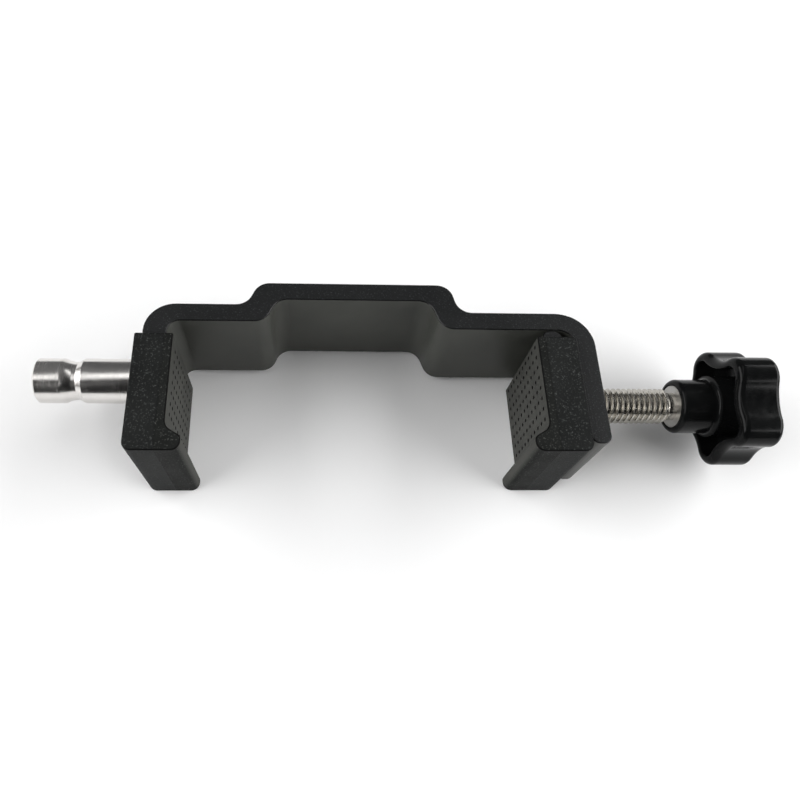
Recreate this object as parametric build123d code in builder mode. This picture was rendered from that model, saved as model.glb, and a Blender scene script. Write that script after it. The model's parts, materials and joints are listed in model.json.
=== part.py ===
"""Fixed-width studio super clamp: an aluminium C-frame with a 5/8 inch stud on one arm and a
screw-driven jaw on the other.

Millimetres, +Z up, with the clamp lying on its side. +X runs from the stud to the knob, the mouth
of the C opens towards -Y, and the bridge of the C is at +Y. The origin is on the stud axis, at the
outer face of the fixed jaw's cover. Everything is drawn with the jaw fully open.
"""

from build123d import *

import math
import os

os.makedirs("parts", exist_ok=True)

OVERCUT = 1.0  # how far a cutting shape runs on past the face that it opens
TOUCHING = 0.01  # distance below which two places count as one
AXIAL_PLAY = 0.1  # gap along X beside a turning or screwed-in piece

# ---- Frame: a length of C profile, stepped out over the middle, thicker in the stud's arm ----
STRAP_WIDTH = 37.7  # along Z
STRAP_THICK = 6.8
LEFT_ARM_X = 1.9  # outer face of the stud's arm
LEFT_ARM_THICK = 8.2
RIGHT_ARM_X = 157.9  # outer face of the screw's arm
ARM_END_Y = -30.6
LEFT_BRIDGE_Y = 21.0  # outer faces of the bridge's three runs
MIDDLE_BRIDGE_Y = 29.9
RIGHT_BRIDGE_Y = 18.6
LEFT_STEP_X = (36.6, 40.6)  # foot and head of each riser, on the outer side
RIGHT_STEP_X = (111.1, 108.3)
LEFT_INNER_STEP_X = (43.3, 47.1)  # the same on the inner side
RIGHT_INNER_STEP_X = (104.8, 101.0)
LEFT_CORNER_R = (10.6, 4.2)  # outer and inner radius of each bend
RIGHT_CORNER_R = (12.8, 6.0)
STEP_R = 6.0
ARM_END_R = 2.8
STRAP_EDGE = 0.4

# ---- Jaws: a plastic cover round a metal core, closed by a dimpled rubber pad with a hooked lip ----
JAW_WIDTH = 42.8  # along Z
JAW_FRONT_Y = -34.2
JAW_BACK_Y = 7.8
LEFT_JAW_BACK_X = 0.0
RIGHT_JAW_BACK_X = 150.5
LEFT_PAD_FACE_X = 12.9
RIGHT_PAD_FACE_X = 136.8
PAD_THICK = 2.8
LIP_REACH = 5.4
LIP_TOP_Y = -29.2
LIP_ROOT_Y = -26.0
LIP_CORNER_R = 3.0
PAD_CORNERS = (0.6, 4.0, 2.3, 3.0)  # back edge, lip root, lip shoulder, lip nose
LEFT_COVER_HEEL_R = 0.6  # corner at the back, towards the bridge
RIGHT_COVER_HEEL_R = 1.2
COVER_EDGE = 0.5  # rounding of the covers' and pads' outer edges
SOCKET_FIT = 0.05  # clearance between a cover and its metal core
DIMPLE_R = 0.6
DIMPLE_DEPTH = 0.9
DIMPLE_PITCH = 3.87
LEFT_DIMPLES = (7, 9)  # rows along Y and along Z
RIGHT_DIMPLES = (8, 10)
DIMPLE_CENTRE_Y = -8.05

# ---- Stud: 5/8 inch spigot with a safety groove ----
STUD_R = 8.0
STUD_REGISTER_R = 7.0  # its reduced base, inside the cover
STUD_REGISTER_FIT = 0.1
STUD_END_X = -37.2
STUD_CHAMFER = 0.7
GROOVE_OUTER_X = -27.9
GROOVE_MID = (-26.1, 7.2)  # point on the groove's curved flank, as X and radius
GROOVE_FLOOR_X = (-24.2, -22.8)
GROOVE_INNER_X = -20.6
GROOVE_FLOOR_R = 6.8
STUD_BOLT_R = 4.0  # M8 countersunk socket screw through the arm
STUD_BOLT_END_X = -14.0
STUD_BOLT_POINT = 0.8
STUD_BOLT_HEAD_R = 7.6
STUD_BOLT_HEAD_RIM = 0.4
BOLT_HOLE_R = 4.3
COUNTERSINK_R = 8.4
BOLT_SOCKET_R = 2.9  # 5 mm hexagon, across its corners
BOLT_SOCKET_DEPTH = 3.0

# ---- Clamp screw: 1/2 inch - 13 thread, drawn at its major diameter ----
SCREW_Y = -8.75
SCREW_R = 6.35
SCREW_BUSH_R = 9.5
SCREW_BUSH_CHAMFER = 0.3
JOURNAL_R = 4.0
JOURNAL_FIT = 0.05
THREAD_DEPTH = 1.2
THREAD_END_X = 188.0
NECK_R = 5.0
SCREW_END_X = 208.0

# ---- Bearing of the screw in the moving jaw's core ----
CORE_END_Y = 11.5  # 0.3 short of the bridge's inner face
CORE_POCKET_R = 7.8
CORE_POCKET_DEPTH = 2.6
JOURNAL_BUSH_R = 6.0
JOURNAL_END_X = 140.0
SNAP_RING_X = (140.6, 141.4)
WASHER_PLAY = 0.05
SNAP_GROOVE_R = 3.4
SNAP_RING_R = 5.8
SNAP_RING_GAP = 2.0
WASHER_R = 7.0
THRUST_WASHER_THICK = 1.0
COVER_HOLE_R = 7.6

# ---- Knob: five-lobed star with a hub ----
HUB_R = 9.8
HUB_FACE_X = 190.5
BOSS_R = 11.2
BOSS_X = 203.6
STAR_BACK_X = 205.7
STAR_FRONT_X = 221.8  # top of the crowned front
STAR_CROWN_R = 134.0
STAR_FLOOR_X = 213.0
LOBES = 5
TIP_R = 7.1
TIP_CENTRE_R = 14.8
NOTCH_FLOOR_R = 17.2
RIM_BAND = 3.3
STAR_PHASE = -1.5  # degrees from +Y towards +Z, to the first lobe
STAR_FRONT_ROUND = 1.9
STAR_BACK_ROUND = 2.3
STAR_POCKET_ROUND = 0.6
HUB_ROUND = 1.6
PRESS_GAP = 0.02  # drawn between pieces that are really pressed together
INSERT_R = 7.8
INSERT_BODY_R = 7.0
INSERT_FLANGE = 3.0
INSERT_SETBACK = 0.2
INSERT_CHAMFER = 0.3
INSERT_BOLT_FIT = 0.1
INSERT_END_X = 209.5
KNOB_BOLT_R = 3.0  # M6 button-head bolt
KNOB_BOLT_END_X = 197.0
KNOB_BOLT_POINT = 0.6
KNOB_BOLT_HEAD_R = 5.25
KNOB_BOLT_HEAD = 3.3
KNOB_BOLT_RIM = 1.2  # straight part of the button head
KNOB_SOCKET_R = 2.3  # 4 mm hexagon, across its corners
KNOB_SOCKET_DEPTH = 2.0
KNOB_WELL_R = 6.5
KNOB_CAP_THICK = 3.0
KNOB_CAP_CHAMFER = 0.4
KNOB_CAP_SETBACK = 0.3

left_inner_x = LEFT_ARM_X + LEFT_ARM_THICK
right_inner_x = RIGHT_ARM_X - STRAP_THICK
core_front_x = RIGHT_PAD_FACE_X + PAD_THICK
core_back_x = core_front_x + STRAP_THICK
washer_x = core_back_x + AXIAL_PLAY
shoulder_x = washer_x + THRUST_WASHER_THICK + WASHER_PLAY
bolt_face_x = left_inner_x - AXIAL_PLAY
bolt_cone_x = bolt_face_x - STUD_BOLT_HEAD_RIM
crown_edge_r = TIP_CENTRE_R + 2 * TIP_R  # outside the star's lobes
crown_edge_x = STAR_FRONT_X - STAR_CROWN_R + math.sqrt(STAR_CROWN_R**2 - crown_edge_r**2)
screw_axis = Axis((0, SCREW_Y, 0), (1, 0, 0))
screw_profile_plane = Plane(origin=(0, SCREW_Y, 0), z_dir=(0, 0, 1))


def plane_at(x, y=0.0, z=0.0, towards=1):
    """Sketch plane across the X axis: its normal is +X or -X."""
    return Plane(origin=(x, y, z), x_dir=(0, 1, 0), z_dir=(towards, 0, 0))


def strap_corners():
    """Corners of the frame's profile with their radii, outer side first, then the inner side."""
    left_y, middle_y, right_y = (
        height - STRAP_THICK for height in (LEFT_BRIDGE_Y, MIDDLE_BRIDGE_Y, RIGHT_BRIDGE_Y)
    )
    return [
        ((LEFT_ARM_X, ARM_END_Y), ARM_END_R),
        ((LEFT_ARM_X, LEFT_BRIDGE_Y), LEFT_CORNER_R[0]),
        ((LEFT_STEP_X[0], LEFT_BRIDGE_Y), STEP_R),
        ((LEFT_STEP_X[1], MIDDLE_BRIDGE_Y), STEP_R),
        ((RIGHT_STEP_X[1], MIDDLE_BRIDGE_Y), STEP_R),
        ((RIGHT_STEP_X[0], RIGHT_BRIDGE_Y), STEP_R),
        ((RIGHT_ARM_X, RIGHT_BRIDGE_Y), RIGHT_CORNER_R[0]),
        ((RIGHT_ARM_X, ARM_END_Y), ARM_END_R),
        ((right_inner_x, ARM_END_Y), ARM_END_R),
        ((right_inner_x, right_y), RIGHT_CORNER_R[1]),
        ((RIGHT_INNER_STEP_X[0], right_y), STEP_R),
        ((RIGHT_INNER_STEP_X[1], middle_y), STEP_R),
        ((LEFT_INNER_STEP_X[1], middle_y), STEP_R),
        ((LEFT_INNER_STEP_X[0], left_y), STEP_R),
        ((left_inner_x, left_y), LEFT_CORNER_R[1]),
        ((left_inner_x, ARM_END_Y), ARM_END_R),
    ]


def at(point):
    """The sketch's vertices at a point of the XY plane."""
    return [v for v in vertices() if math.hypot(v.X - point[0], v.Y - point[1]) < TOUCHING]


def pad_outline(face_x, mouth):
    """Pad and lip in profile. mouth is +1 where the jaw faces +X, -1 where it faces -X."""
    back_x = face_x - mouth * PAD_THICK
    nose_x = face_x + mouth * LIP_REACH
    return [
        (back_x, JAW_BACK_Y),
        (face_x, JAW_BACK_Y),
        (face_x, LIP_ROOT_Y),
        (nose_x, LIP_TOP_Y),
        (nose_x, JAW_FRONT_Y),
        (back_x, JAW_FRONT_Y),
    ]


def star_outline(inset=0.0):
    """Tangent tip and notch arcs of the star, all moved inwards by the inset."""
    half = math.pi / LOBES
    across = TIP_CENTRE_R * math.cos(half)
    notch_r = (NOTCH_FLOOR_R**2 + TIP_CENTRE_R**2 - TIP_R**2 - 2 * NOTCH_FLOOR_R * across) / (
        2 * (TIP_R + across - NOTCH_FLOOR_R)
    )
    notch_centre_r = NOTCH_FLOOR_R + notch_r
    arcs = []
    for lobe in range(LOBES):
        turn = math.radians(STAR_PHASE) + lobe * 2 * half
        tip = Vector(math.cos(turn), math.sin(turn)) * TIP_CENTRE_R
        before = Vector(math.cos(turn - half), math.sin(turn - half)) * notch_centre_r
        after = Vector(math.cos(turn + half), math.sin(turn + half)) * notch_centre_r
        following = Vector(math.cos(turn + 2 * half), math.sin(turn + 2 * half)) * TIP_CENTRE_R
        start = tip + (before - tip).normalized() * (TIP_R - inset)
        end = tip + (after - tip).normalized() * (TIP_R - inset)
        onward = following + (after - following).normalized() * (TIP_R - inset)
        top = tip + tip.normalized() * (TIP_R - inset)
        floor = after - after.normalized() * (notch_r + inset)
        arcs.append((start, top, end))
        arcs.append((end, floor, onward))
    return arcs


# The frame: the C profile, pierced for the stud's bolt and for the screw's threaded bush.
with BuildPart() as frame:
    with BuildSketch(Plane.XY.offset(-STRAP_WIDTH / 2)):
        with BuildLine():
            Polyline(*[point for point, _ in strap_corners()], close=True)
        make_face()
        for point, radius in strap_corners():
            fillet(at(point), radius)
    extrude(amount=STRAP_WIDTH)
    fillet(faces().group_by(Axis.Z)[0].edges(), STRAP_EDGE)
    fillet(faces().group_by(Axis.Z)[-1].edges(), STRAP_EDGE)
    # Clearance hole and countersink for the stud's bolt.
    with BuildSketch(plane_at(LEFT_ARM_X)):
        Circle(BOLT_HOLE_R)
    extrude(amount=LEFT_ARM_THICK, mode=Mode.SUBTRACT)
    with BuildSketch(plane_at(left_inner_x, towards=-1)):
        Circle(COUNTERSINK_R)
    extrude(amount=COUNTERSINK_R - BOLT_HOLE_R, taper=45, mode=Mode.SUBTRACT)
    # Bore for the pressed-in bush.
    with BuildSketch(plane_at(right_inner_x, SCREW_Y)):
        Circle(SCREW_BUSH_R)
    extrude(amount=STRAP_THICK, mode=Mode.SUBTRACT)
frame.part.label = "frame"
export_step(frame.part, "parts/frame.step")


# The fixed jaw's cover: a plastic sleeve slipped over the end of the stud's arm.
with BuildPart() as fixed_jaw_cover:
    with BuildSketch(Plane.XY.offset(-JAW_WIDTH / 2)):
        with BuildLine():
            Polyline(
                (LEFT_JAW_BACK_X, JAW_BACK_Y),
                (left_inner_x, JAW_BACK_Y),
                (left_inner_x, JAW_FRONT_Y),
                (LEFT_JAW_BACK_X, JAW_FRONT_Y),
                close=True,
            )
        make_face()
        fillet(at((LEFT_JAW_BACK_X, JAW_FRONT_Y)), LIP_CORNER_R)
        fillet(at((LEFT_JAW_BACK_X, JAW_BACK_Y)), LEFT_COVER_HEEL_R)
    extrude(amount=JAW_WIDTH)
    outer = [faces().sort_by(Axis.Z)[0], faces().sort_by(Axis.Z)[-1]]
    fillet(
        [e for face in outer for e in face.edges() if e.center().X < left_inner_x - TOUCHING],
        COVER_EDGE,
    )
    # Socket for the arm, open towards the bridge and towards the pad.
    with BuildSketch(Plane.XY.offset(-STRAP_WIDTH / 2 - SOCKET_FIT)):
        with BuildLine():
            Polyline(
                (LEFT_ARM_X, JAW_BACK_Y + OVERCUT),
                (left_inner_x + OVERCUT, JAW_BACK_Y + OVERCUT),
                (left_inner_x + OVERCUT, ARM_END_Y - SOCKET_FIT),
                (LEFT_ARM_X, ARM_END_Y - SOCKET_FIT),
                close=True,
            )
        make_face()
        fillet(at((LEFT_ARM_X, ARM_END_Y - SOCKET_FIT)), ARM_END_R)
    extrude(amount=STRAP_WIDTH + 2 * SOCKET_FIT, mode=Mode.SUBTRACT)
    # Hole that lets the stud seat on the arm.
    with BuildSketch(plane_at(LEFT_JAW_BACK_X)):
        Circle(STUD_REGISTER_R + STUD_REGISTER_FIT)
    extrude(amount=LEFT_ARM_X - LEFT_JAW_BACK_X, mode=Mode.SUBTRACT)
fixed_jaw_cover.part.label = "fixed_jaw_cover"
export_step(fixed_jaw_cover.part, "parts/fixed_jaw_cover.step")


# The fixed jaw's pad: rubber, dimpled, with a hooked lip at the mouth of the C.
with BuildPart() as fixed_jaw_pad:
    with BuildSketch(Plane.XY.offset(-JAW_WIDTH / 2)):
        profile = pad_outline(LEFT_PAD_FACE_X, 1)
        with BuildLine():
            Polyline(*profile, close=True)
        make_face()
        for corner, radius in zip(profile[1:5], PAD_CORNERS):
            fillet(at(corner), radius)
    extrude(amount=JAW_WIDTH)
    outer = [faces().sort_by(Axis.Z)[0], faces().sort_by(Axis.Z)[-1]]
    fillet(
        [e for face in outer for e in face.edges() if e.center().X > left_inner_x + TOUCHING],
        COVER_EDGE,
    )
    with BuildSketch(plane_at(LEFT_PAD_FACE_X, DIMPLE_CENTRE_Y, towards=-1)):
        with GridLocations(DIMPLE_PITCH, DIMPLE_PITCH, *LEFT_DIMPLES):
            Circle(DIMPLE_R)
    extrude(amount=DIMPLE_DEPTH, mode=Mode.SUBTRACT)
fixed_jaw_pad.part.label = "fixed_jaw_pad"
export_step(fixed_jaw_pad.part, "parts/fixed_jaw_pad.step")


# The stud: a turned steel spigot. Its base passes through the cover and seats on the arm.
with BuildPart() as stud:
    with BuildSketch(Plane.XY):
        with BuildLine():
            Polyline(
                (LEFT_ARM_X, STUD_BOLT_R),
                (LEFT_ARM_X, STUD_REGISTER_R),
                (LEFT_JAW_BACK_X, STUD_REGISTER_R),
                (LEFT_JAW_BACK_X, STUD_R),
                (GROOVE_INNER_X, STUD_R),
                (GROOVE_FLOOR_X[1], GROOVE_FLOOR_R),
                (GROOVE_FLOOR_X[0], GROOVE_FLOOR_R),
            )
            ThreePointArc(
                (GROOVE_FLOOR_X[0], GROOVE_FLOOR_R),
                GROOVE_MID,
                (GROOVE_OUTER_X, STUD_R),
            )
            Polyline(
                (GROOVE_OUTER_X, STUD_R),
                (STUD_END_X + STUD_CHAMFER, STUD_R),
                (STUD_END_X, STUD_R - STUD_CHAMFER),
                (STUD_END_X, 0),
                (STUD_BOLT_END_X - OVERCUT - STUD_BOLT_R, 0),
                (STUD_BOLT_END_X - OVERCUT, STUD_BOLT_R),
                (LEFT_ARM_X, STUD_BOLT_R),
            )
        make_face()
    revolve(axis=Axis.X)
stud.part.label = "stud"
export_step(stud.part, "parts/stud.step")


# The countersunk socket screw that draws the stud onto the arm, from inside the C.
with BuildPart() as stud_bolt:
    with BuildSketch(Plane.XY):
        with BuildLine():
            Polyline(
                (bolt_face_x, 0),
                (bolt_face_x, STUD_BOLT_HEAD_R),
                (bolt_cone_x, STUD_BOLT_HEAD_R),
                (bolt_cone_x - STUD_BOLT_HEAD_R + STUD_BOLT_R, STUD_BOLT_R),
                (STUD_BOLT_END_X + STUD_BOLT_POINT, STUD_BOLT_R),
                (STUD_BOLT_END_X, STUD_BOLT_R - STUD_BOLT_POINT),
                (STUD_BOLT_END_X, 0),
                close=True,
            )
        make_face()
    revolve(axis=Axis.X)
    with BuildSketch(plane_at(bolt_face_x, towards=-1)):
        RegularPolygon(BOLT_SOCKET_R, 6)
    extrude(amount=BOLT_SOCKET_DEPTH, mode=Mode.SUBTRACT)
stud_bolt.part.label = "stud_bolt"
export_step(stud_bolt.part, "parts/stud_bolt.step")


# The threaded bush pressed into the other arm. The screw runs in it.
with BuildPart() as screw_bush:
    with BuildSketch(plane_at(right_inner_x, SCREW_Y)):
        Circle(SCREW_BUSH_R)
        Circle(SCREW_R + JOURNAL_FIT, mode=Mode.SUBTRACT)
    extrude(amount=STRAP_THICK)
    rims = [e for e in edges().filter_by(GeomType.CIRCLE) if e.radius > SCREW_R + 2 * JOURNAL_FIT]
    chamfer(rims, SCREW_BUSH_CHAMFER)
screw_bush.part.label = "screw_bush"
export_step(screw_bush.part, "parts/screw_bush.step")


# The moving jaw's core: an aluminium plate whose round end slides along the bridge.
with BuildPart() as jaw_core:
    with BuildSketch(Plane.XY.offset(-STRAP_WIDTH / 2)):
        with BuildLine():
            Polyline(
                (core_front_x, ARM_END_Y),
                (core_back_x, ARM_END_Y),
                (core_back_x, CORE_END_Y),
                (core_front_x, CORE_END_Y),
                close=True,
            )
        make_face()
        fillet(vertices(), ARM_END_R)
    extrude(amount=STRAP_WIDTH)
    fillet(faces().group_by(Axis.Z)[0].edges(), STRAP_EDGE)
    fillet(faces().group_by(Axis.Z)[-1].edges(), STRAP_EDGE)
    with BuildSketch(plane_at(core_front_x, SCREW_Y)):
        Circle(CORE_POCKET_R)
    extrude(amount=CORE_POCKET_DEPTH, mode=Mode.SUBTRACT)
    with BuildSketch(plane_at(core_front_x, SCREW_Y)):
        Circle(JOURNAL_BUSH_R)
    extrude(amount=STRAP_THICK, mode=Mode.SUBTRACT)
jaw_core.part.label = "jaw_core"
export_step(jaw_core.part, "parts/jaw_core.step")


# The bearing bush in the core, round the screw's journal.
with BuildPart() as journal_bush:
    with BuildSketch(plane_at(core_front_x + CORE_POCKET_DEPTH, SCREW_Y)):
        Circle(JOURNAL_BUSH_R)
        Circle(JOURNAL_R + JOURNAL_FIT, mode=Mode.SUBTRACT)
    extrude(amount=STRAP_THICK - CORE_POCKET_DEPTH)
journal_bush.part.label = "journal_bush"
export_step(journal_bush.part, "parts/journal_bush.step")


# The moving jaw's cover, with a hole in its back for the screw.
with BuildPart() as moving_jaw_cover:
    with BuildSketch(Plane.XY.offset(-JAW_WIDTH / 2)):
        with BuildLine():
            Polyline(
                (core_front_x, JAW_BACK_Y),
                (RIGHT_JAW_BACK_X, JAW_BACK_Y),
                (RIGHT_JAW_BACK_X, JAW_FRONT_Y),
                (core_front_x, JAW_FRONT_Y),
                close=True,
            )
        make_face()
        fillet(at((RIGHT_JAW_BACK_X, JAW_FRONT_Y)), LIP_CORNER_R)
        fillet(at((RIGHT_JAW_BACK_X, JAW_BACK_Y)), RIGHT_COVER_HEEL_R)
    extrude(amount=JAW_WIDTH)
    outer = [faces().sort_by(Axis.Z)[0], faces().sort_by(Axis.Z)[-1]]
    fillet(
        [e for face in outer for e in face.edges() if e.center().X > core_front_x + TOUCHING],
        COVER_EDGE,
    )
    with BuildSketch(Plane.XY.offset(-STRAP_WIDTH / 2 - SOCKET_FIT)):
        with BuildLine():
            Polyline(
                (core_front_x - OVERCUT, JAW_BACK_Y + OVERCUT),
                (core_back_x + SOCKET_FIT, JAW_BACK_Y + OVERCUT),
                (core_back_x + SOCKET_FIT, ARM_END_Y - SOCKET_FIT),
                (core_front_x - OVERCUT, ARM_END_Y - SOCKET_FIT),
                close=True,
            )
        make_face()
        inner_corner = (core_back_x + SOCKET_FIT, ARM_END_Y - SOCKET_FIT)
        fillet(at(inner_corner), ARM_END_R)
    extrude(amount=STRAP_WIDTH + 2 * SOCKET_FIT, mode=Mode.SUBTRACT)
    with BuildSketch(plane_at(core_back_x, SCREW_Y)):
        Circle(COVER_HOLE_R)
    extrude(amount=RIGHT_JAW_BACK_X - core_back_x, mode=Mode.SUBTRACT)
moving_jaw_cover.part.label = "moving_jaw_cover"
export_step(moving_jaw_cover.part, "parts/moving_jaw_cover.step")


# The moving jaw's pad faces the fixed one and has one more row and column of dimples.
with BuildPart() as moving_jaw_pad:
    with BuildSketch(Plane.XY.offset(-JAW_WIDTH / 2)):
        profile = pad_outline(RIGHT_PAD_FACE_X, -1)
        with BuildLine():
            Polyline(*profile, close=True)
        make_face()
        for corner, radius in zip(profile[1:5], PAD_CORNERS):
            fillet(at(corner), radius)
    extrude(amount=JAW_WIDTH)
    outer = [faces().sort_by(Axis.Z)[0], faces().sort_by(Axis.Z)[-1]]
    fillet(
        [e for face in outer for e in face.edges() if e.center().X < core_front_x - TOUCHING],
        COVER_EDGE,
    )
    with BuildSketch(plane_at(RIGHT_PAD_FACE_X, DIMPLE_CENTRE_Y)):
        with GridLocations(DIMPLE_PITCH, DIMPLE_PITCH, *RIGHT_DIMPLES):
            Circle(DIMPLE_R)
    extrude(amount=DIMPLE_DEPTH, mode=Mode.SUBTRACT)
moving_jaw_pad.part.label = "moving_jaw_pad"
export_step(moving_jaw_pad.part, "parts/moving_jaw_pad.step")


# The clamp screw: journal and snap-ring groove, thread, relief neck, and the shank in the knob.
with BuildPart() as clamp_screw:
    with BuildSketch(screw_profile_plane):
        with BuildLine():
            Polyline(
                (JOURNAL_END_X, 0),
                (JOURNAL_END_X, JOURNAL_R),
                (SNAP_RING_X[0], JOURNAL_R),
                (SNAP_RING_X[0], SNAP_GROOVE_R),
                (SNAP_RING_X[1], SNAP_GROOVE_R),
                (SNAP_RING_X[1], JOURNAL_R),
                (shoulder_x, JOURNAL_R),
                (shoulder_x, SCREW_R - THREAD_DEPTH),
                (shoulder_x + THREAD_DEPTH, SCREW_R),
                (THREAD_END_X - THREAD_DEPTH, SCREW_R),
                (THREAD_END_X, NECK_R),
                (SCREW_END_X, NECK_R),
                (SCREW_END_X, KNOB_BOLT_R),
                (KNOB_BOLT_END_X - OVERCUT, KNOB_BOLT_R),
                (KNOB_BOLT_END_X - OVERCUT - KNOB_BOLT_R, 0),
                close=True,
            )
        make_face()
    revolve(axis=screw_axis)
clamp_screw.part.label = "clamp_screw"
export_step(clamp_screw.part, "parts/clamp_screw.step")


# Washers either side of the core, and the snap ring that holds the screw in it.
with BuildPart() as thrust_washer:
    with BuildSketch(plane_at(washer_x, SCREW_Y)):
        Circle(WASHER_R)
        Circle(JOURNAL_R + JOURNAL_FIT, mode=Mode.SUBTRACT)
    extrude(amount=THRUST_WASHER_THICK)
thrust_washer.part.label = "thrust_washer"
export_step(thrust_washer.part, "parts/thrust_washer.step")

with BuildPart() as snap_ring_washer:
    with BuildSketch(plane_at(SNAP_RING_X[1] + WASHER_PLAY, SCREW_Y)):
        Circle(WASHER_R)
        Circle(JOURNAL_R + JOURNAL_FIT, mode=Mode.SUBTRACT)
    pocket_floor_x = core_front_x + CORE_POCKET_DEPTH
    extrude(amount=pocket_floor_x - AXIAL_PLAY - SNAP_RING_X[1] - WASHER_PLAY)
snap_ring_washer.part.label = "snap_ring_washer"
export_step(snap_ring_washer.part, "parts/snap_ring_washer.step")

with BuildPart() as snap_ring:
    with BuildSketch(plane_at(SNAP_RING_X[0], SCREW_Y)):
        Circle(SNAP_RING_R)
        Circle(SNAP_GROOVE_R, mode=Mode.SUBTRACT)
        with Locations((SNAP_RING_R, 0)):
            Rectangle(2 * SNAP_RING_R, SNAP_RING_GAP, mode=Mode.SUBTRACT)
    extrude(amount=SNAP_RING_X[1] - SNAP_RING_X[0])
snap_ring.part.label = "snap_ring"
export_step(snap_ring.part, "parts/snap_ring.step")


# The knob's body: a crowned star head, hollow at the back inside a rounded rim, then hub and boss.
with BuildPart() as knob_body:
    with BuildSketch(plane_at(STAR_BACK_X, SCREW_Y)):
        with BuildLine():
            for arc in star_outline():
                ThreePointArc(*arc)
        make_face()
    extrude(amount=STAR_FRONT_X - STAR_BACK_X)
    with BuildSketch(screw_profile_plane):
        with BuildLine():
            Polyline(
                (STAR_FRONT_X, 0),
                (STAR_BACK_X, 0),
                (STAR_BACK_X, crown_edge_r),
                (crown_edge_x, crown_edge_r),
            )
            RadiusArc((crown_edge_x, crown_edge_r), (STAR_FRONT_X, 0), STAR_CROWN_R)
        make_face()
    revolve(axis=screw_axis, mode=Mode.INTERSECT)
    fillet(faces().sort_by(Axis.X)[-1].edges(), STAR_FRONT_ROUND)
    fillet(faces().sort_by(Axis.X)[0].edges(), STAR_BACK_ROUND)
    with BuildSketch(plane_at(STAR_BACK_X, SCREW_Y)):
        with BuildLine():
            for arc in star_outline(RIM_BAND):
                ThreePointArc(*arc)
        make_face()
    extrude(amount=STAR_FLOOR_X - STAR_BACK_X, mode=Mode.SUBTRACT)
    fillet(faces().sort_by(Axis.X)[0].inner_wires()[0].edges(), STAR_POCKET_ROUND)
    with BuildSketch(screw_profile_plane):
        with BuildLine():
            Polyline(
                (HUB_FACE_X, 0),
                (HUB_FACE_X, HUB_R - HUB_ROUND),
            )
            RadiusArc(
                (HUB_FACE_X, HUB_R - HUB_ROUND), (HUB_FACE_X + HUB_ROUND, HUB_R), HUB_ROUND
            )
            Polyline(
                (HUB_FACE_X + HUB_ROUND, HUB_R),
                (BOSS_X - BOSS_R + HUB_R, HUB_R),
            )
            RadiusArc(
                (BOSS_X - BOSS_R + HUB_R, HUB_R), (BOSS_X, BOSS_R), -(BOSS_R - HUB_R)
            )
            Polyline(
                (BOSS_X, BOSS_R),
                (STAR_FLOOR_X + OVERCUT, BOSS_R),
                (STAR_FLOOR_X + OVERCUT, 0),
                (HUB_FACE_X, 0),
            )
        make_face()
    revolve(axis=screw_axis)
    # Seat of the insert, then the bolt's well from the front.
    with BuildSketch(plane_at(HUB_FACE_X, SCREW_Y)):
        Circle(INSERT_R)
    extrude(amount=INSERT_FLANGE, mode=Mode.SUBTRACT)
    with BuildSketch(plane_at(HUB_FACE_X, SCREW_Y)):
        Circle(INSERT_BODY_R)
    extrude(amount=INSERT_END_X - HUB_FACE_X, mode=Mode.SUBTRACT)
    with BuildSketch(plane_at(INSERT_END_X, SCREW_Y)):
        Circle(KNOB_WELL_R)
    extrude(amount=STAR_FRONT_X - INSERT_END_X, mode=Mode.SUBTRACT)
knob_body.part.label = "knob_body"
export_step(knob_body.part, "parts/knob_body.step")


# The metal insert in the hub: flanged at the mouth, closed round the bolt at its far end.
with BuildPart() as knob_insert:
    with BuildSketch(screw_profile_plane):
        with BuildLine():
            Polyline(
                (HUB_FACE_X + INSERT_SETBACK, NECK_R + PRESS_GAP),
                (HUB_FACE_X + INSERT_SETBACK, INSERT_R - INSERT_CHAMFER),
                (HUB_FACE_X + INSERT_SETBACK + INSERT_CHAMFER, INSERT_R),
                (HUB_FACE_X + INSERT_FLANGE, INSERT_R),
                (HUB_FACE_X + INSERT_FLANGE, INSERT_BODY_R),
                (INSERT_END_X, INSERT_BODY_R),
                (INSERT_END_X, KNOB_BOLT_R + INSERT_BOLT_FIT),
                (SCREW_END_X, KNOB_BOLT_R + INSERT_BOLT_FIT),
                (SCREW_END_X, NECK_R + PRESS_GAP),
                close=True,
            )
        make_face()
    revolve(axis=screw_axis)
knob_insert.part.label = "knob_insert"
export_step(knob_insert.part, "parts/knob_insert.step")


# The button-head bolt that holds the knob on the screw, and the cap over its well.
with BuildPart() as knob_bolt:
    with BuildSketch(screw_profile_plane):
        with BuildLine():
            Polyline(
                (KNOB_BOLT_END_X, 0),
                (KNOB_BOLT_END_X, KNOB_BOLT_R - KNOB_BOLT_POINT),
                (KNOB_BOLT_END_X + KNOB_BOLT_POINT, KNOB_BOLT_R),
                (INSERT_END_X, KNOB_BOLT_R),
                (INSERT_END_X, KNOB_BOLT_HEAD_R),
                (INSERT_END_X + KNOB_BOLT_RIM, KNOB_BOLT_HEAD_R),
            )
            RadiusArc(
                (INSERT_END_X + KNOB_BOLT_RIM, KNOB_BOLT_HEAD_R),
                (INSERT_END_X + KNOB_BOLT_HEAD, KNOB_BOLT_HEAD_R / 2),
                KNOB_BOLT_HEAD_R,
            )
            Polyline(
                (INSERT_END_X + KNOB_BOLT_HEAD, KNOB_BOLT_HEAD_R / 2),
                (INSERT_END_X + KNOB_BOLT_HEAD, 0),
                (KNOB_BOLT_END_X, 0),
            )
        make_face()
    revolve(axis=screw_axis)
    with BuildSketch(plane_at(INSERT_END_X + KNOB_BOLT_HEAD, SCREW_Y, towards=-1)):
        RegularPolygon(KNOB_SOCKET_R, 6)
    extrude(amount=KNOB_SOCKET_DEPTH, mode=Mode.SUBTRACT)
knob_bolt.part.label = "knob_bolt"
export_step(knob_bolt.part, "parts/knob_bolt.step")

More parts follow.
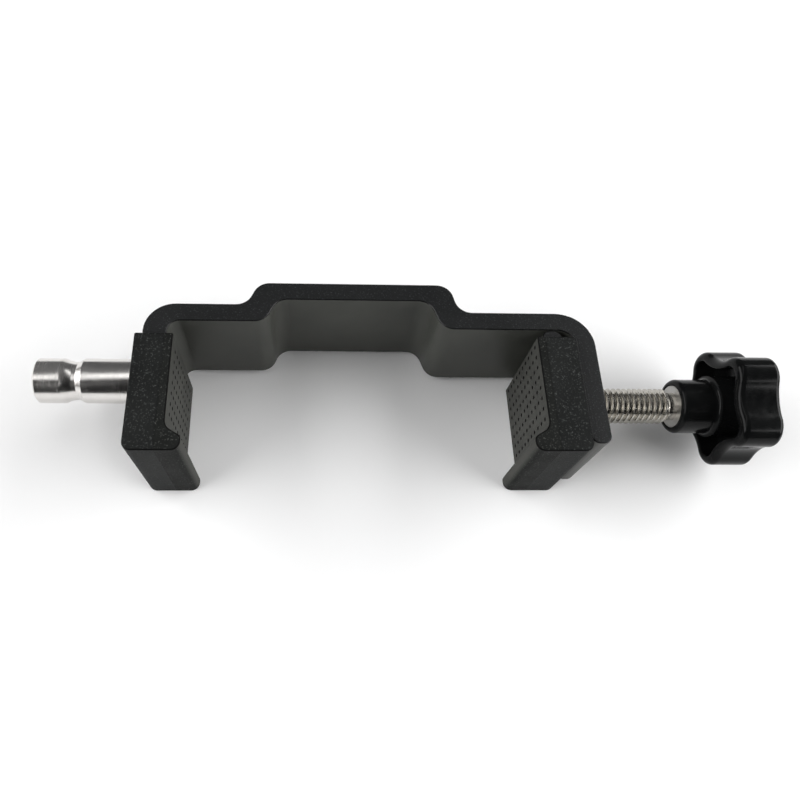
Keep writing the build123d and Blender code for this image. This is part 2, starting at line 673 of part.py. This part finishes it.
with BuildPart() as knob_cap:
    with BuildSketch(plane_at(STAR_FRONT_X - KNOB_CAP_SETBACK - KNOB_CAP_THICK, SCREW_Y)):
        Circle(KNOB_WELL_R - PRESS_GAP)
    extrude(amount=KNOB_CAP_THICK)
    chamfer(faces().sort_by(Axis.X)[-1].edges(), KNOB_CAP_CHAMFER)
knob_cap.part.label = "knob_cap"
export_step(knob_cap.part, "parts/knob_cap.step")
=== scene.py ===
import json
import math

import bmesh
import bpy
from mathutils import Matrix, Vector


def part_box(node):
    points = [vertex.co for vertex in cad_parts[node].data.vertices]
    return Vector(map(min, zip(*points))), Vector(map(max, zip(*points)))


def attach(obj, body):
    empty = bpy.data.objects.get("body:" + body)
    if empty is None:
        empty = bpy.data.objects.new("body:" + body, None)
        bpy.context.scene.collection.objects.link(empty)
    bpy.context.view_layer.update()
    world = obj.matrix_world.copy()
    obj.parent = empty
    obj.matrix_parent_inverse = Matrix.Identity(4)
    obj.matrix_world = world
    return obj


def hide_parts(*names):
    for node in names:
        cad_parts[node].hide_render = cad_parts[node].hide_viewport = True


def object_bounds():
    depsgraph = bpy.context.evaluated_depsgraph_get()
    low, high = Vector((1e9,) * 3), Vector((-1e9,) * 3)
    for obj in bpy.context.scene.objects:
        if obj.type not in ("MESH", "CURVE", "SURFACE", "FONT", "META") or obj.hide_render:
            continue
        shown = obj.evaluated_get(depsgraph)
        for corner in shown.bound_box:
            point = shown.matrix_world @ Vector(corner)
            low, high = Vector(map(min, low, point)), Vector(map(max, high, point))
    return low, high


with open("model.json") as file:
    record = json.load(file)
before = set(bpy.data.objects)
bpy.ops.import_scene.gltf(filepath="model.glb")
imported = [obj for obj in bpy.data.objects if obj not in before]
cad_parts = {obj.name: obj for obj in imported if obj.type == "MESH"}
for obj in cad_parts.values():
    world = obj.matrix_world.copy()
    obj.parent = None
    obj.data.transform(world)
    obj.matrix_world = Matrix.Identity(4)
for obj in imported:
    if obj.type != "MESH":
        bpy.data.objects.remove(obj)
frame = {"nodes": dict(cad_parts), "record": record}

# Looks of a fixed-width studio super clamp lying on its side on a pale table.
# Metres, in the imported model's frame: +X from stud to knob, +Y towards the bridge, +Z up.

MM = 0.001
cad_low, cad_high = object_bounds()

# ---- Thread of the clamp screw: 1/2 inch, 13 turns to the inch ----
THREAD_PITCH = 25.4 / 13 * MM
THREAD_DEPTH = 0.6134 * THREAD_PITCH
THREAD_STEPS = 48  # faces round one turn
CREST_EASE = 0.012  # share of a pitch, and of the depth, taken off each crest corner
THREAD_SHARP_ANGLE = math.radians(35)

# ---- The rest of the clamp screw ----
WASHER_GAP = 0.05 * MM  # between the thrust washer and the thread's start
NECK_LENGTH = 2.7 * MM  # plain, between the thread and the knob's insert
NECK_R = 5.0 * MM
JOURNAL_R = 4.0 * MM
JOURNAL_CHAMFER = 0.3 * MM
RING_GROOVE_R = 3.4 * MM
CENTRE_R = 0.01 * MM  # closes the screw's ends almost to a point
WELD = 0.001 * MM
LATHE_STEPS = 96

# ---- Pads: hooked rubber strips with a lattice of soft-edged dimples ----
LIP_ROOT_UP = 8.2 * MM  # above the pad's front end
LIP_TOP_UP = 5.0 * MM
PAD_CORNER_RADII = (0.6 * MM, 4.0 * MM, 2.3 * MM, 3.0 * MM)
PAD_END_ROUND = 0.5 * MM
ARC_STEPS = 8
DIMPLE_PITCH = 3.87 * MM
DIMPLE_CENTRE_Y = -8.05 * MM
DIMPLE_CELL = 1.6 * MM  # half the side of the square that each dimple is cut from
DIMPLE_RINGS = ((0.80, 0.0), (0.69, 0.0), (0.61, 0.08), (0.56, 0.45), (0.40, 0.80))  # radius, depth
DIMPLE_DEPTH = 0.9 * MM
DIMPLE_SIDES = 12
PAD_SHARP_ANGLE = math.radians(50)
FIXED_PAD_DIMPLES = (7, 9)  # rows, columns
MOVING_PAD_DIMPLES = (8, 10)

# ---- Stage, light and camera ----
FLOOR_SIZE = 3.0
FLOOR_GAP = 0.05 * MM  # under the lowest point
SIDE_LIGHT_SIZE = (2.0, 0.72)
WORLD_Y = (-0.2, 0.35)  # the direction's Y at which the world is darkest and brightest
WORLD_STRENGTH = (0.008, 0.11)
CAMERA_AT = Vector((60.0, -110.22, 224.5)) * MM
CAMERA_RIGHT = Vector((0.99883, -0.01504, 0.04599))
CAMERA_UP = Vector((-0.00450, 0.91742, 0.39788))
CAMERA_SENSOR = 36.0  # millimetres
CAMERA_LENS = 30.99  # millimetres
CAMERA_SHIFT = (0.0667, 0.0188)
CAMERA_NEAR = 0.01


# ---------------------------------------------------------------- materials

RANGE_SOCKETS = ("From Min", "From Max", "To Min", "To Max")
EDGE_RADIUS = 1.0 * MM
PAD_EDGE_RADIUS = 0.8 * MM
CLOUD = (0.3, 0.7)  # the part of a noise's range that is used


class Shader:
    """A material with a Principled surface, and short ways to add and join nodes."""

    def __init__(self, name, **sockets):
        self.material = bpy.data.materials.new(name)
        self.material.use_nodes = True
        self.tree = self.material.node_tree
        self.surface = self.tree.nodes["Principled BSDF"]
        for socket, value in sockets.items():
            self.surface.inputs[socket.replace("_", " ")].default_value = value
        self.place = self.node("ShaderNodeTexCoord").outputs["Object"]
        self.facing = self.place.node.outputs["Normal"]

    def node(self, kind, **settings):
        made = self.tree.nodes.new(kind)
        for key, value in settings.items():
            setattr(made, key, value)
        return made

    def link(self, source, target):
        self.tree.links.new(source, target)

    def stretched(self, scale):
        """The object's coordinates, scaled differently along each axis."""
        mapping = self.node("ShaderNodeMapping")
        mapping.inputs["Scale"].default_value = scale
        self.link(self.place, mapping.inputs["Vector"])
        return mapping.outputs["Vector"]

    def noise(self, scale, detail=2.0, rough=0.55, vector=None):
        made = self.node("ShaderNodeTexNoise")
        made.inputs["Scale"].default_value = scale
        made.inputs["Detail"].default_value = detail
        made.inputs["Roughness"].default_value = rough
        self.link(vector or self.place, made.inputs["Vector"])
        return made.outputs["Fac"]

    def spread(self, value, low, high, to_low=0.0, to_high=1.0):
        """value from low to high, mapped onto to_low to to_high."""
        made = self.node("ShaderNodeMapRange")
        for socket, number in zip(RANGE_SOCKETS, (low, high, to_low, to_high)):
            made.inputs[socket].default_value = number
        self.link(value, made.inputs["Value"])
        return made.outputs["Result"]

    def math(self, operation, first, second=0.0):
        made = self.node("ShaderNodeMath", operation=operation)
        for socket, value in zip(made.inputs, (first, second)):
            if isinstance(value, (int, float)):
                socket.default_value = value
            else:
                self.link(value, socket)
        return made.outputs["Value"]

    def blend(self, share, first, second):
        """A colour between two, by share. Each is a colour or a socket."""
        made = self.node("ShaderNodeMix", data_type="RGBA")
        self.link(share, made.inputs["Factor"])
        for index, value in ((6, first), (7, second)):
            if isinstance(value, tuple):
                made.inputs[index].default_value = (*value, 1.0)
            else:
                self.link(value, made.inputs[index])
        return made.outputs[2]

    def bump(self, height, depth, strength=1.0, under=None):
        made = self.node("ShaderNodeBump")
        made.inputs["Strength"].default_value = strength
        made.inputs["Distance"].default_value = depth
        self.link(height, made.inputs["Height"])
        if under is not None:
            self.link(under, made.inputs["Normal"])
        return made.outputs["Normal"]

    def edge_shade_mask(self, radius):
        """From 0 to 1, the mask of painted edge shade: patchy near an edge, full on the rounding of
        a rim that faces along Z.
        """
        rounded = self.node("ShaderNodeBevel", samples=4)
        rounded.inputs["Radius"].default_value = radius
        actual = self.node("ShaderNodeNewGeometry")
        likeness = self.node("ShaderNodeVectorMath", operation="DOT_PRODUCT")
        self.link(rounded.outputs["Normal"], likeness.inputs[0])
        self.link(actual.outputs["Normal"], likeness.inputs[1])
        edge = self.spread(likeness.outputs["Value"], 0.998, 0.93)
        patches = self.spread(self.noise(900.0, 3.0), 0.35, 0.60, 0.1, 0.6)
        patchy = self.math("MULTIPLY", edge, patches)
        upright = self.across("Z")
        off_wall = self.spread(upright, 0.08, 0.30)
        off_top = self.spread(upright, 0.995, 0.96)
        rim = self.math("MULTIPLY", off_wall, off_top)
        return self.math("MAXIMUM", patchy, rim)

    def across(self, axis):
        """How squarely the surface faces along an axis, from 0 to 1."""
        made = self.node("ShaderNodeSeparateXYZ")
        self.link(self.facing, made.inputs["Vector"])
        return self.math("ABSOLUTE", made.outputs[axis])

    def colour(self, socket):
        self.link(socket, self.surface.inputs["Base Color"])

    def roughness(self, socket):
        self.link(socket, self.surface.inputs["Roughness"])

    def normal(self, socket):
        self.link(socket, self.surface.inputs["Normal"])


def coated_aluminium():
    """Satin black coat: blasted on the sawn profile, smooth with faint die lines on the walls.
    Painted light makes the walls lighter than the profile, and painted shade darkens the edges.
    """
    shader = Shader("coated_aluminium", Specular_IOR_Level=0.28)
    blasted = shader.spread(shader.across("Z"), 0.90, 0.97)
    cloud = shader.noise(45.0, 3.0)
    clouded = shader.spread(cloud, *CLOUD)
    # Painted light: the walls are coloured several times lighter than the sawn profile faces; the
    # profile's blasted grain is its own finish.
    wall = shader.blend(clouded, (0.043, 0.0445, 0.0390), (0.058, 0.0600, 0.0525))
    grain = shader.noise(1900.0, 2.0)
    dark = shader.blend(clouded, (0.0030, 0.0035, 0.0038), (0.0050, 0.0056, 0.0060))
    profile = shader.blend(shader.spread(grain, 0.58, 0.78), dark, (0.040, 0.043, 0.045))
    painted_edge_shade = shader.edge_shade_mask(EDGE_RADIUS)
    base = shader.blend(blasted, wall, profile)
    # Painted shade: edges and rounded rims are coloured near black by the edge mask, which also
    # lowers their roughness.
    shader.colour(shader.blend(painted_edge_shade, base, (0.0045, 0.0048, 0.0048)))
    wall_dull = shader.spread(cloud, *CLOUD, 0.34, 0.44)
    dull = shader.math("ADD", wall_dull, shader.math("MULTIPLY", blasted, 0.12))
    shader.roughness(shader.math("SUBTRACT", dull, shader.math("MULTIPLY", painted_edge_shade, 0.12)))
    lines = shader.noise(1.0, 2.0, vector=shader.stretched((1500.0, 1500.0, 12.0)))
    drawn = shader.bump(lines, 0.012 * MM, 0.5)
    coarse = shader.math("ADD", shader.math("MULTIPLY", blasted, 0.85), 0.15)
    amount = shader.math("MULTIPLY", grain, coarse)
    shader.normal(shader.bump(amount, 0.1 * MM, 0.8, under=drawn))
    return shader.material


def jaw_plastic():
    """Matt black moulded nylon with a coarse spark-eroded texture, and painted shade darkening its
    edges and rims.
    """
    shader = Shader("jaw_plastic", Specular_IOR_Level=0.07)
    grain = shader.noise(1700.0, 3.0, 0.6)
    cloud = shader.noise(60.0, 2.0)
    clouded = shader.spread(cloud, *CLOUD)
    dark = shader.blend(clouded, (0.0090, 0.0097, 0.0095), (0.0145, 0.0155, 0.0150))
    grained = shader.blend(shader.spread(grain, 0.56, 0.74), dark, (0.070, 0.074, 0.072))
    painted_edge_shade = shader.edge_shade_mask(EDGE_RADIUS)
    # Painted shade: edges and rounded rims are coloured near black by the edge mask.
    shader.colour(shader.blend(painted_edge_shade, grained, (0.0025, 0.0027, 0.0027)))
    dull = shader.spread(grain, 0.35, 0.7, 0.50, 0.66)
    shader.roughness(shader.math("SUBTRACT", dull, shader.math("MULTIPLY", painted_edge_shade, 0.15)))
    shader.normal(shader.bump(grain, 0.12 * MM, 0.8))
    return shader.material


def pad_rubber():
    """Dark rubber: its gripping faces are painted grey as a painted reflection, its moulded sides
    stay black, and painted shade darkens its edges.
    """
    shader = Shader("pad_rubber", Specular_IOR_Level=0.07)
    grain = shader.noise(1700.0, 2.0)
    cloud = shader.noise(110.0, 3.0)
    clouded = shader.spread(cloud, *CLOUD)
    moulded = shader.blend(clouded, (0.0085, 0.0092, 0.0085), (0.0140, 0.0150, 0.0140))
    gripping = shader.blend(clouded, (0.043, 0.0435, 0.040), (0.060, 0.0605, 0.055))
    # Painted reflection: faces along X are coloured grey, the moulded sides near black.
    base = shader.blend(shader.spread(shader.across("X"), 0.6, 0.95), moulded, gripping)
    flecked = shader.blend(shader.spread(grain, 0.58, 0.76), base, (0.065, 0.067, 0.063))
    painted_edge_shade = shader.edge_shade_mask(PAD_EDGE_RADIUS)
    # Painted shade: edges and rounded rims are coloured near black by the edge mask.
    shader.colour(shader.blend(painted_edge_shade, flecked, (0.0030, 0.0032, 0.0030)))
    shader.roughness(shader.spread(cloud, *CLOUD, 0.55, 0.70))
    shader.normal(shader.bump(grain, 0.06 * MM, 0.6))
    return shader.material


def turned_steel(name, tint, low, high, ring_depth=0.006 * MM):
    """Bright steel with fine rings round the X axis, as a lathe leaves them."""
    shader = Shader(name, Metallic=1.0, Anisotropic=0.35)
    rings = shader.noise(1.0, 3.0, 0.6, vector=shader.stretched((5200.0, 30.0, 30.0)))
    bands = shader.noise(1.0, 2.0, 0.5, vector=shader.stretched((700.0, 10.0, 10.0)))
    smear = shader.noise(220.0, 2.0)
    light = tuple(part * 1.06 for part in tint)
    shader.colour(shader.blend(shader.spread(bands, 0.3, 0.7), tint, light))
    ringed = shader.spread(rings, 0.3, 0.7, low, high)
    smeared = shader.spread(smear, 0.4, 0.8, 0.0, 0.05)
    shader.roughness(shader.math("ADD", ringed, smeared))
    shader.normal(shader.bump(rings, ring_depth, 0.6))
    return shader.material


def gloss_plastic():
    """Glossy black moulding with a very slight orange peel and a few dull smears."""
    shader = Shader("gloss_plastic", Specular_IOR_Level=0.09)
    cloud = shader.noise(90.0, 2.0)
    clouded = shader.spread(cloud, 0.35, 0.7)
    shader.colour(shader.blend(clouded, (0.0038, 0.0040, 0.0042), (0.0062, 0.0066, 0.0066)))
    smear = shader.noise(380.0, 4.0, 0.65)
    shader.roughness(shader.spread(smear, 0.4, 0.75, 0.13, 0.24))
    shader.normal(shader.bump(shader.noise(420.0, 1.0), 0.02 * MM, 0.35))
    return shader.material


def sintered_bronze():
    shader = Shader("sintered_bronze", Metallic=1.0)
    pores = shader.noise(3200.0, 2.0)
    pitted = shader.spread(pores, 0.55, 0.7)
    shader.colour(shader.blend(pitted, (0.56, 0.38, 0.19), (0.30, 0.19, 0.10)))
    shader.roughness(shader.spread(pores, 0.35, 0.7, 0.34, 0.58))
    shader.normal(shader.bump(pores, 0.04 * MM, 0.6))
    return shader.material


def black_oxide():
    shader = Shader("black_oxide", Metallic=0.85)
    cloud = shader.noise(700.0, 3.0)
    clouded = shader.spread(cloud, 0.35, 0.7)
    shader.colour(shader.blend(clouded, (0.020, 0.020, 0.022), (0.048, 0.047, 0.050)))
    shader.roughness(shader.spread(cloud, *CLOUD, 0.30, 0.46))
    shader.normal(shader.bump(cloud, 0.01 * MM, 0.5))
    return shader.material


MATERIALS = {
    "black_aluminium": coated_aluminium(),
    "jaw_plastic": jaw_plastic(),
    "pad_rubber": pad_rubber(),
    "stainless": turned_steel("turned_stainless", (0.72, 0.70, 0.68), 0.17, 0.27),
    "bush_steel": turned_steel("machined_steel", (0.60, 0.59, 0.57), 0.24, 0.36),
    "bronze": sintered_bronze(),
    "black_bolt": black_oxide(),
    "knob_plastic": gloss_plastic(),
}
SLOT_OF = {part["node"]: part["material_slot"] for part in frame["record"]["subparts"]}
BODY_OF = {
    node: body for body, nodes in frame["record"]["behaviour"]["bodies"].items() for node in nodes
}


# ---------------------------------------------------------------- pieces


def add_piece(name, mesh, node, material=None):
    """A finished mesh as a piece that stands for a CAD node and rides on that node's body."""
    piece = bpy.data.objects.new(name, mesh)
    bpy.context.scene.collection.objects.link(piece)
    mesh.materials.clear()
    mesh.materials.append(material or MATERIALS[SLOT_OF[node]])
    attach(piece, BODY_OF[node])
    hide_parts(node)
    return piece


def rounded_outline(corners, radii):
    """Points with outward directions along corners taken clockwise, the inner corners rounded."""

    def left_of(way):
        return Vector((-way.y, way.x))

    made = [(corners[0], left_of((corners[1] - corners[0]).normalized()))]
    for before, corner, after, radius in zip(corners, corners[1:], corners[2:], radii):
        arriving = (corner - before).normalized()
        leaving = (after - corner).normalized()
        angle = arriving.angle(leaving)
        side = 1 if left_of(arriving).dot(leaving) > 0 else -1
        start = corner - arriving * radius * math.tan(angle / 2)
        centre = start + left_of(arriving) * radius * side
        for step in range(ARC_STEPS + 1):
            swing = side * angle * step / ARC_STEPS
            outward = Matrix.Rotation(swing, 2) @ left_of(arriving)
            made.append((centre - outward * radius * side, outward))
    made.append((corners[-1], left_of((corners[-1] - corners[-2]).normalized())))
    return made


def dimple(form, corners, centre, inward):
    """Fills a square with a dimple. Its corners go round from +Y+Z, inward is +1 or -1 along X."""
    rings = []
    for radius, depth in DIMPLE_RINGS:
        ring = []
        for side in range(DIMPLE_SIDES):
            angle = 2 * math.pi * side / DIMPLE_SIDES
            offset = Vector((inward * depth, radius * math.cos(angle), radius * math.sin(angle)))
            ring.append(form.verts.new(centre + offset * MM))
        rings.append(ring)
    quarter = DIMPLE_SIDES // 4
    outer = rings[0]
    for turn, corner in enumerate(corners):
        for side in range(turn * quarter, (turn + 1) * quarter):
            form.faces.new((corner, outer[side], outer[(side + 1) % DIMPLE_SIDES]))
        meeting = outer[(turn + 1) * quarter % DIMPLE_SIDES]
        form.faces.new((corner, meeting, corners[(turn + 1) % 4]))
    bottom = form.verts.new(centre + Vector((inward * DIMPLE_DEPTH, 0, 0)))
    for side in range(DIMPLE_SIDES):
        other = (side + 1) % DIMPLE_SIDES
        for wide, narrow in zip(rings, rings[1:]):
            form.faces.new((wide[side], wide[other], narrow[other], narrow[side]))
        form.faces.new((rings[-1][side], rings[-1][other], bottom))


def lattice(centre, count):
    return [centre + DIMPLE_PITCH * (index - (count - 1) / 2) for index in range(count)]


def rubber_pad(name, node, face_x, rows, columns):
    """A jaw's pad: its hooked profile run along Z with rounded ends, and dimples in its face."""
    low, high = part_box(node)
    mouth = 1 if face_x < (cad_low.x + cad_high.x) / 2 else -1
    back_x, nose_x = (low.x, high.x) if mouth > 0 else (high.x, low.x)
    thick = abs(face_x - back_x)
    reach = abs(nose_x - back_x)
    outline = rounded_outline(
        [
            Vector((0, high.y)),
            Vector((thick, high.y)),
            Vector((thick, low.y + LIP_ROOT_UP)),
            Vector((reach, low.y + LIP_TOP_UP)),
            Vector((reach, low.y)),
            Vector((0, low.y)),
        ],
        PAD_CORNER_RADII,
    )
    row_ends = [
        (y + side * DIMPLE_CELL, y)
        for y in reversed(lattice(DIMPLE_CENTRE_Y, rows))
        for side in (1, -1)
    ]
    face_start = 1 + ARC_STEPS + 1
    outline[face_start:face_start] = [(Vector((thick, y)), Vector((1, 0))) for y, _ in row_ends]
    dimple_row = {face_start + 2 * index: row_ends[2 * index][1] for index in range(rows)}

    ends = []
    for step in range(ARC_STEPS + 1):
        angle = math.pi / 2 * (1 - step / ARC_STEPS)
        ends.append((PAD_END_ROUND * (1 - math.sin(angle)), PAD_END_ROUND * (1 - math.cos(angle))))
    stations = [(low.z + along, inset) for along, inset in ends]
    dimple_column = {}
    for z in lattice((low.z + high.z) / 2, columns):
        dimple_column[len(stations)] = z
        stations += [(z - DIMPLE_CELL, 0.0), (z + DIMPLE_CELL, 0.0)]
    stations += [(high.z - along, inset) for along, inset in reversed(ends)]

    form = bmesh.new()
    grid = []
    for z, inset in stations:
        loop = []
        for point, outward in outline:
            place = point - outward * inset
            loop.append(form.verts.new((back_x + mouth * place.x, place.y, z)))
        grid.append(loop)
    for column, (near, far) in enumerate(zip(grid, grid[1:])):
        form.faces.new((near[0], near[-1], far[-1], far[0]))
        for row in range(len(outline) - 1):
            if row in dimple_row and column in dimple_column:
                corners = (far[row], far[row + 1], near[row + 1], near[row])
                centre = Vector((face_x, dimple_row[row], dimple_column[column]))
                dimple(form, corners, centre, -mouth)
            else:
                form.faces.new((near[row], near[row + 1], far[row + 1], far[row]))
    form.faces.new(grid[0])
    form.faces.new(grid[-1])
    bmesh.ops.recalc_face_normals(form, faces=form.faces)
    mesh = bpy.data.meshes.new(name)
    form.to_mesh(mesh)
    form.free()
    mesh.shade_smooth()
    mesh.set_sharp_from_angle(angle=PAD_SHARP_ANGLE)
    piece = add_piece(name, mesh, node)
    flats = piece.modifiers.new("flat_faces", "WEIGHTED_NORMAL")
    flats.keep_sharp = True


def thread_profile():
    """Crest, flank, root and flank, each point as (share of the pitch, share of the depth)."""
    crest, flank = 1 / 8, 5 / 16  # shares of the pitch
    ease = CREST_EASE
    return [
        (0.0, 1 - 2 * ease),
        (ease, 1.0),
        (crest - ease, 1.0),
        (crest, 1 - 2 * ease),
        (crest + flank * 0.5, 0.5),
        (crest + flank - ease, 2 * ease),
        (crest + flank + ease, 0.0),
        (1 - flank - ease, 0.0),
        (1 - flank + ease, 2 * ease),
        (1 - flank * 0.5, 0.5),
    ]


def lathe(form, axis, profile):
    """Turns (x, radius) points into rings of faces round the line through axis, along X."""
    rings = []
    for x, radius in profile:
        ring = []
        for step in range(LATHE_STEPS):
            angle = 2 * math.pi * step / LATHE_STEPS
            across = (radius * math.cos(angle), radius * math.sin(angle))
            ring.append(form.verts.new((x, axis.y + across[0], axis.z + across[1])))
        rings.append(ring)
    for near, far in zip(rings, rings[1:]):
        for step in range(LATHE_STEPS):
            other = (step + 1) % LATHE_STEPS
            form.faces.new((near[step], far[step], far[other], near[other]))


def clamp_screw():
    """The clamp screw with its real helical thread, run out at both ends."""
    low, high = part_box("clamp_screw")
    axis = (low + high) / 2
    major = (high.z - low.z) / 2
    washer_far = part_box("thrust_washer")[1].x
    insert_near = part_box("knob_insert")[0].x
    ring_low, ring_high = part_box("snap_ring")
    start = washer_far + WASHER_GAP
    end = insert_near - NECK_LENGTH
    form = bmesh.new()

    profile = thread_profile()
    turns = math.ceil((end - start) / THREAD_PITCH) + 2
    rows = turns * THREAD_STEPS
    root = major - THREAD_DEPTH

    def vertex(row, x_share, height):
        x = start + THREAD_PITCH * (row / THREAD_STEPS + x_share - 1)
        radius = root + THREAD_DEPTH * height
        if x < start + THREAD_DEPTH:
            radius = min(radius, root + max(x - start, 0))
        if x > end - THREAD_DEPTH:
            run_out = (end - x) / THREAD_DEPTH
            radius = min(radius, NECK_R + max(run_out, 0) * (major - NECK_R))
        inside = start <= x <= end
        angle = -2 * math.pi * row / THREAD_STEPS
        place = (
            min(max(x, start), end),
            axis.y + radius * math.cos(angle),
            axis.z + radius * math.sin(angle),
        )
        return form.verts.new(place), inside

    grid = [[vertex(row, share, height) for share, height in profile] for row in range(rows)]
    for row in range(rows - THREAD_STEPS - 1):
        for k in range(len(profile)):
            if k + 1 < len(profile):
                corners = (grid[row][k], grid[row][k + 1], grid[row + 1][k + 1], grid[row + 1][k])
            else:
                next_turn = row + THREAD_STEPS
                start_of_next = (grid[next_turn][0], grid[next_turn + 1][0])
                corners = (grid[row][k], *start_of_next, grid[row + 1][k])
            if any(inside for _, inside in corners):
                form.faces.new([corner for corner, _ in corners])

    lathe(
        form,
        axis,
        [
            (low.x, CENTRE_R),
            (low.x, JOURNAL_R - JOURNAL_CHAMFER),
            (low.x + JOURNAL_CHAMFER, JOURNAL_R),
            (ring_low.x, JOURNAL_R),
            (ring_low.x, RING_GROOVE_R),
            (ring_high.x, RING_GROOVE_R),
            (ring_high.x, JOURNAL_R),
            (start, JOURNAL_R),
            (start, root),
        ],
    )
    lathe(form, axis, [(end, NECK_R), (high.x, NECK_R), (high.x, CENTRE_R)])
    bmesh.ops.delete(form, geom=[v for v in form.verts if not v.link_faces], context="VERTS")
    bmesh.ops.remove_doubles(form, verts=form.verts, dist=WELD)
    bmesh.ops.recalc_face_normals(form, faces=form.faces)
    mesh = bpy.data.meshes.new("threaded_screw")
    form.to_mesh(mesh)
    form.free()
    mesh.shade_smooth()
    mesh.set_sharp_from_angle(angle=THREAD_SHARP_ANGLE)
    rolled = turned_steel("rolled_stainless", (0.48, 0.46, 0.42), 0.20, 0.28, ring_depth=0.001 * MM)
    add_piece("threaded_screw", mesh, "clamp_screw", rolled)


FACE_X = {mount["name"]: mount["pos_m"][0] for mount in frame["record"]["mounts"]}
rubber_pad("fixed_pad_dimpled", "fixed_jaw_pad", FACE_X["fixed_pad"], *FIXED_PAD_DIMPLES)
rubber_pad("moving_pad_dimpled", "moving_jaw_pad", FACE_X["moving_pad"], *MOVING_PAD_DIMPLES)
clamp_screw()

for node, cad_object in frame["nodes"].items():
    for material_slot in cad_object.material_slots:
        material_slot.material = MATERIALS[SLOT_OF[node]]


# ---------------------------------------------------------------- stage, light and camera

floor_z = cad_low.z - FLOOR_GAP

floor_mesh = bpy.data.meshes.new("table")
half = FLOOR_SIZE / 2
floor_mesh.from_pydata(
    [(x * half, y * half, floor_z) for x, y in ((-1, -1), (1, -1), (1, 1), (-1, 1))],
    [],
    [(0, 1, 2, 3)],
)
table = bpy.data.objects.new("table", floor_mesh)
bpy.context.scene.collection.objects.link(table)
floor_shader = Shader("white_table", Roughness=0.6, Specular_IOR_Level=0.25)
floor_cloud = floor_shader.spread(floor_shader.noise(9.0, 2.0), *CLOUD)
floor_shader.colour(
    floor_shader.blend(floor_cloud, (0.95, 0.95, 0.95), (0.97, 0.97, 0.97))
)
floor_mesh.materials.append(floor_shader.material)


def softbox(name, place, width, depth, radiance):
    """A rectangular light aimed at the middle of the clamp, from place relative to it."""
    lamp = bpy.data.lights.new(name, "AREA")
    lamp.shape = "RECTANGLE"
    lamp.size = width
    lamp.size_y = depth
    lamp.energy = radiance * math.pi * width * depth
    lamp_object = bpy.data.objects.new(name, lamp)
    lamp_object.location = middle + place
    lamp_object.rotation_euler = (-place).to_track_quat("-Z", "Y").to_euler()
    bpy.context.scene.collection.objects.link(lamp_object)


middle = (cad_low + cad_high) / 2
softbox("overhead", Vector((-0.25, 0.17, 0.90)), 1.2, 0.20, 1.7)
softbox("left_side", Vector((-1.17, 0.0, 0.66)), *SIDE_LIGHT_SIZE, 5.0)
softbox("right_side", Vector((1.17, 0.0, 0.66)), *SIDE_LIGHT_SIZE, 6.2)

world = bpy.data.worlds.new("dim_room")
world.use_nodes = True
room = world.node_tree
direction = room.nodes.new("ShaderNodeTexCoord")
split = room.nodes.new("ShaderNodeSeparateXYZ")
room.links.new(direction.outputs["Generated"], split.inputs["Vector"])
wall_light = room.nodes.new("ShaderNodeMapRange")
for socket, number in zip(RANGE_SOCKETS, (*WORLD_Y, *WORLD_STRENGTH)):
    wall_light.inputs[socket].default_value = number
room.links.new(split.outputs["Y"], wall_light.inputs["Value"])
room.links.new(wall_light.outputs["Result"], room.nodes["Background"].inputs["Strength"])
room.nodes["Background"].inputs["Color"].default_value = (0.97, 0.98, 1.0, 1.0)
bpy.context.scene.world = world

bpy.context.scene.view_settings.view_transform = "Standard"
bpy.context.scene.view_settings.exposure = 0.0

camera = bpy.data.cameras.new("camera")
camera.sensor_width = CAMERA_SENSOR
camera.lens = CAMERA_LENS
camera.shift_x, camera.shift_y = CAMERA_SHIFT
camera.clip_start = CAMERA_NEAR
camera_object = bpy.data.objects.new("camera", camera)
turn = Matrix((CAMERA_RIGHT, CAMERA_UP, CAMERA_RIGHT.cross(CAMERA_UP))).transposed()
camera_object.matrix_world = Matrix.Translation(CAMERA_AT) @ turn.to_4x4()
bpy.context.scene.collection.objects.link(camera_object)
bpy.context.scene.camera = camera_object
